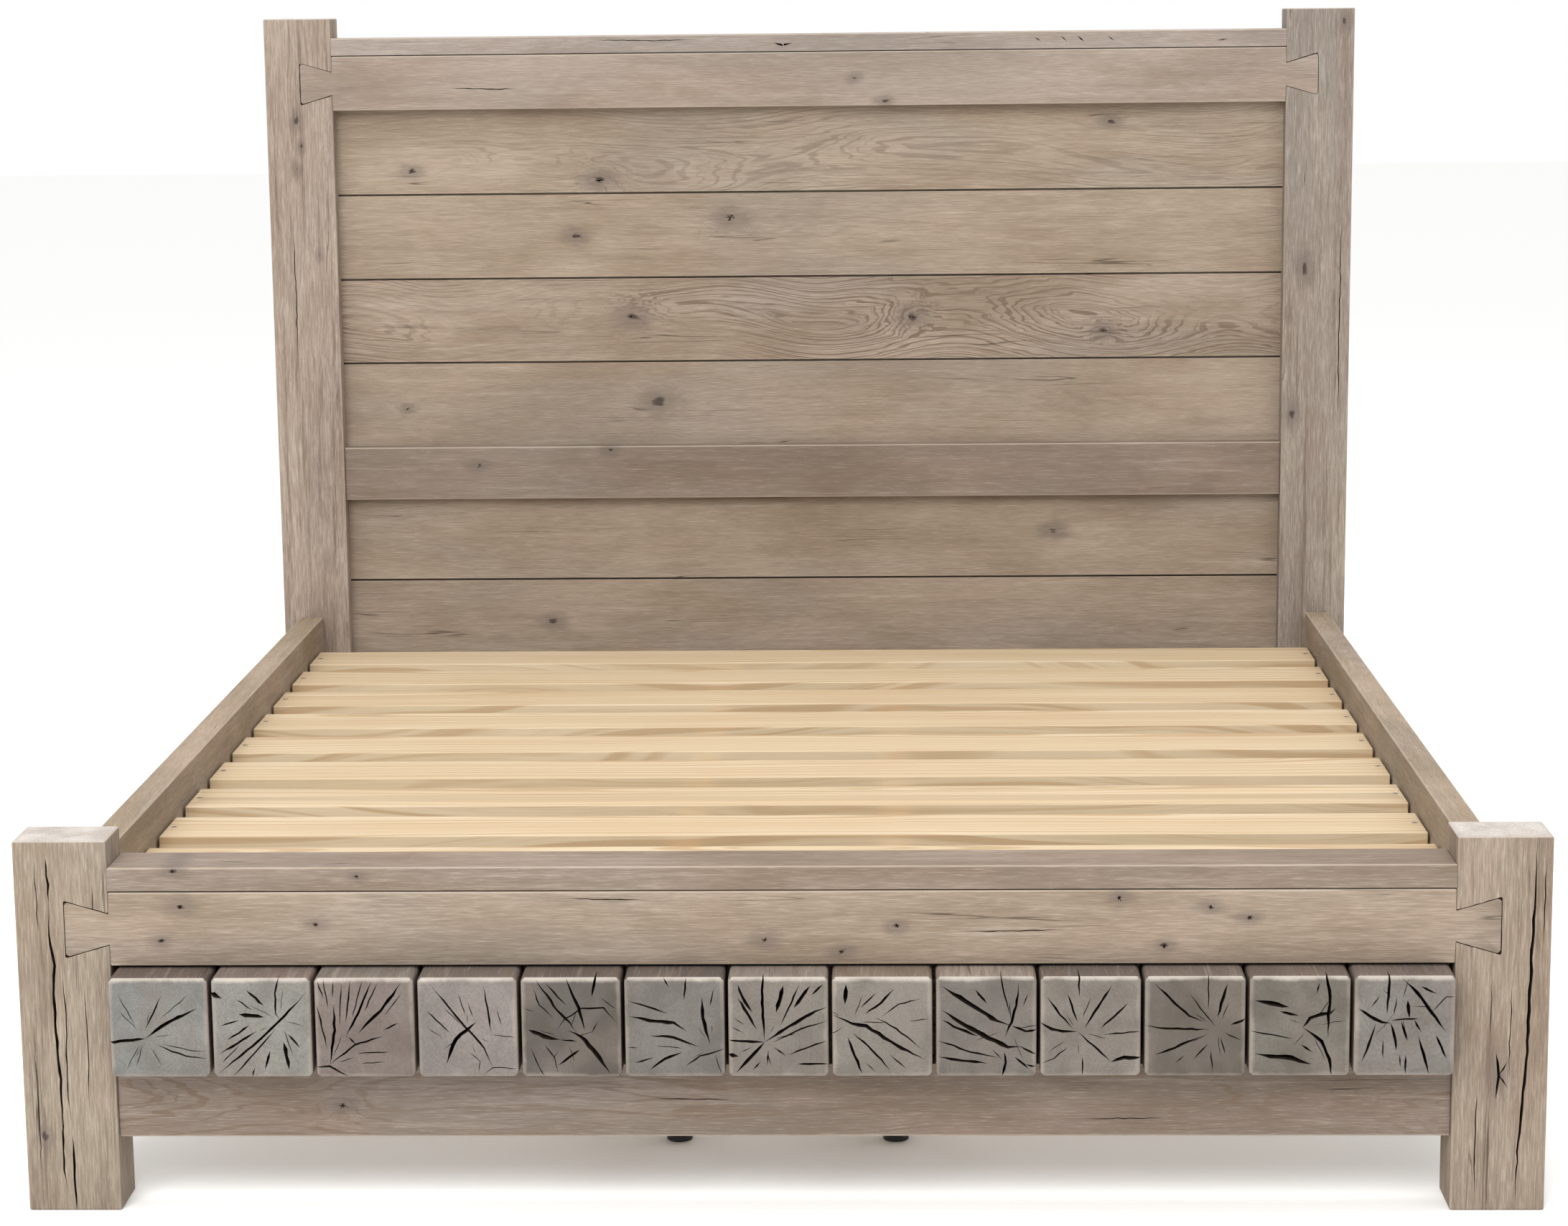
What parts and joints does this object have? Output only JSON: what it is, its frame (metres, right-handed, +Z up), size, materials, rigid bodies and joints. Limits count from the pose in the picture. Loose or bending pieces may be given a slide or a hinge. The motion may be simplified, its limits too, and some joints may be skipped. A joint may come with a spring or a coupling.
{
  "type": "bed frame",
  "caption": "Solid wood king bed frame with dovetailed post-and-rail ends, a panelled headboard, a low footboard faced with end-grain blocks, slats and levelling feet.",
  "frame": {"origin": "on the floor, under the middle of the frame's bounding box", "axes": "+Z up, +Y from the footboard to the headboard, +X to the right as seen from the footboard"},
  "size_m": [2.109, 2.305, 1.636],
  "materials": {
    "weathered_oak": "brushed, whitewashed, matte",
    "end_grain_oak": "weathered sawn end grain, checked, matte",
    "planed_pine": "planed, unfinished",
    "black_foot": "black coated steel",
    "black_steel": "satin black powder coat",
    "brass_insert": "turned",
    "zinc_steel": "zinc plated"
  },
  "bodies": {
    "bed": {"footboard_post_left": "weathered_oak", "footboard_post_right": "weathered_oak", "footboard_top_rail": "weathered_oak", "footboard_cap": "weathered_oak", "footboard_lower_rail": "weathered_oak", "footboard_backing_board": "weathered_oak", "end_grain_block_01": "end_grain_oak", "end_grain_block_02": "end_grain_oak", "end_grain_block_03": "end_grain_oak", "end_grain_block_04": "end_grain_oak", "end_grain_block_05": "end_grain_oak", "end_grain_block_06": "end_grain_oak", "end_grain_block_07": "end_grain_oak", "end_grain_block_08": "end_grain_oak", "end_grain_block_09": "end_grain_oak", "end_grain_block_10": "end_grain_oak", "end_grain_block_11": "end_grain_oak", "end_grain_block_12": "end_grain_oak", "end_grain_block_13": "end_grain_oak", "headboard_post_left": "weathered_oak", "headboard_post_right": "weathered_oak", "headboard_top_rail": "weathered_oak", "headboard_cap": "weathered_oak", "headboard_middle_rail": "weathered_oak", "headboard_lower_rail": "weathered_oak", "headboard_plank_1": "weathered_oak", "headboard_plank_2": "weathered_oak", "headboard_plank_3": "weathered_oak", "headboard_plank_4": "weathered_oak", "headboard_plank_5": "weathered_oak", "headboard_plank_6": "weathered_oak", "side_rail_left": "weathered_oak", "side_rail_right": "weathered_oak", "ledger_left": "planed_pine", "ledger_right": "planed_pine", "slat_01": "planed_pine", "slat_02": "planed_pine", "slat_03": "planed_pine", "slat_04": "planed_pine", "slat_05": "planed_pine", "slat_06": "planed_pine", "slat_07": "planed_pine", "slat_08": "planed_pine", "slat_09": "planed_pine", "slat_10": "planed_pine", "bearer_left": "planed_pine", "bearer_right": "planed_pine", "bearer_brackets": "black_steel", "bearer_legs": "planed_pine", "leg_inserts": "brass_insert", "rail_hook_plates": "zinc_steel", "post_slot_plates": "zinc_steel", "wood_screws": "zinc_steel"},
    "foot_1": {"levelling_foot_1": "black_foot"},
    "foot_2": {"levelling_foot_2": "black_foot"},
    "foot_3": {"levelling_foot_3": "black_foot"},
    "foot_4": {"levelling_foot_4": "black_foot"},
    "foot_5": {"levelling_foot_5": "black_foot"},
    "foot_6": {"levelling_foot_6": "black_foot"}
  },
  "joints": [
    {"name": "foot_1_screw", "type": "slide", "parent": "bed", "child": "foot_1", "axis": [0, 0, 1], "range_m": [-0.012, 0.008]},
    {"name": "foot_2_screw", "type": "slide", "parent": "bed", "child": "foot_2", "axis": [0, 0, 1], "range_m": [-0.012, 0.008]},
    {"name": "foot_3_screw", "type": "slide", "parent": "bed", "child": "foot_3", "axis": [0, 0, 1], "range_m": [-0.012, 0.008]},
    {"name": "foot_4_screw", "type": "slide", "parent": "bed", "child": "foot_4", "axis": [0, 0, 1], "range_m": [-0.012, 0.008]},
    {"name": "foot_5_screw", "type": "slide", "parent": "bed", "child": "foot_5", "axis": [0, 0, 1], "range_m": [-0.012, 0.008]},
    {"name": "foot_6_screw", "type": "slide", "parent": "bed", "child": "foot_6", "axis": [0, 0, 1], "range_m": [-0.012, 0.008]}
  ]
}
